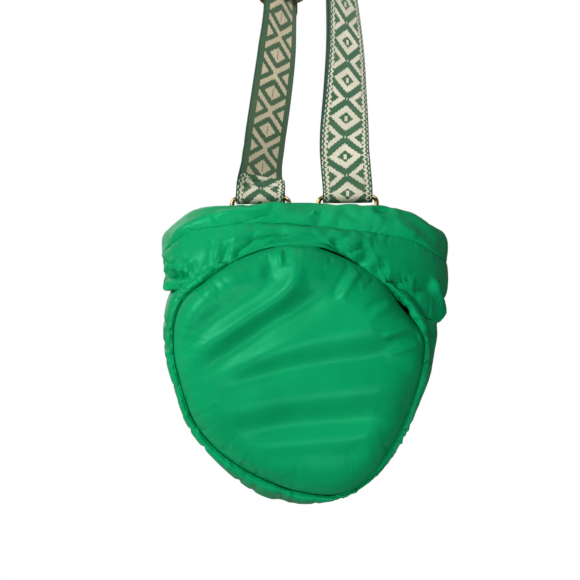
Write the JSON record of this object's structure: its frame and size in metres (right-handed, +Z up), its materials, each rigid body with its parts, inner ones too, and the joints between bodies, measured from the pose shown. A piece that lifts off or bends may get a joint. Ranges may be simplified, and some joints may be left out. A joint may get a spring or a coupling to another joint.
{
  "type": "shoulder bag",
  "caption": "Small padded zip-top shoulder bag with an egg-shaped face panel, a gathered collar, wire rings and an adjustable patterned webbing strap.",
  "frame": {"origin": "middle of the webbing at the top of the strap's crown, where a shoulder or a peg carries it", "axes": "+Z up along the hanging strap, -Y out of the bag's face panel, +X to the right of the face panel"},
  "size_m": [0.1392, 0.1005, 0.4411],
  "materials": {
    "shell_nylon": "satin-glossy woven nylon, padded",
    "lining_cloth": "matt plain weave",
    "zip_tape": "matt twill tape",
    "webbing": "two-colour jacquard webbing, diamond pattern",
    "gold_metal": "polished gold-coloured plating"
  },
  "bodies": {
    "strap": {"strap_webbing": "webbing", "strap_return": "webbing"},
    "rings": {"strap_ring_left": "gold_metal", "strap_ring_right": "gold_metal"},
    "bag": {"face_panel": "shell_nylon", "back_panel": "shell_nylon", "side_strip_left": "shell_nylon", "side_strip_right": "shell_nylon", "collar_front_lower": "shell_nylon", "collar_front_upper": "shell_nylon", "collar_back_lower": "shell_nylon", "collar_back_upper": "shell_nylon", "face_seam_binding": "zip_tape", "back_seam_binding": "zip_tape", "lining_bag": "lining_cloth", "zip_tape_front": "zip_tape", "zip_tape_back": "zip_tape", "zip_teeth_front": "gold_metal", "zip_teeth_back": "gold_metal", "zip_bottom_stop": "gold_metal", "zip_top_stop_front": "gold_metal", "zip_top_stop_back": "gold_metal", "zip_end_tab_left": "zip_tape", "zip_end_tab_right": "zip_tape", "ring_tab_left": "shell_nylon", "ring_tab_right": "shell_nylon"},
    "slider": {"zip_slider": "gold_metal", "zip_slider_bridge": "gold_metal"},
    "pull": {"zip_pull": "gold_metal"},
    "adjuster": {"strap_adjuster": "gold_metal", "strap_return_hem": "webbing"}
  },
  "joints": [
    {"name": "rings_swing", "type": "hinge", "parent": "strap", "child": "rings", "pos_m": [0, 0, -0.2964], "axis": [1, 0, 0], "range_deg": [-30, 30]},
    {"name": "bag_swing", "type": "hinge", "parent": "rings", "child": "bag", "pos_m": [0, 0, -0.3078], "axis": [1, 0, 0], "range_deg": [-40, 40]},
    {"name": "zip_slide", "type": "slide", "parent": "bag", "child": "slider", "axis": [1, 0, 0], "range_m": [0, 0.08]},
    {"name": "pull_turn", "type": "hinge", "parent": "slider", "child": "pull", "pos_m": [-0.04, -0.01, -0.30785], "axis": [0, -1, 0], "range_deg": [0, 180]},
    {"name": "adjuster_slide", "type": "slide", "parent": "strap", "child": "adjuster", "axis": [0, 0, 1], "range_m": [0, 0.045], "deforming": ["strap_return"]}
  ]
}
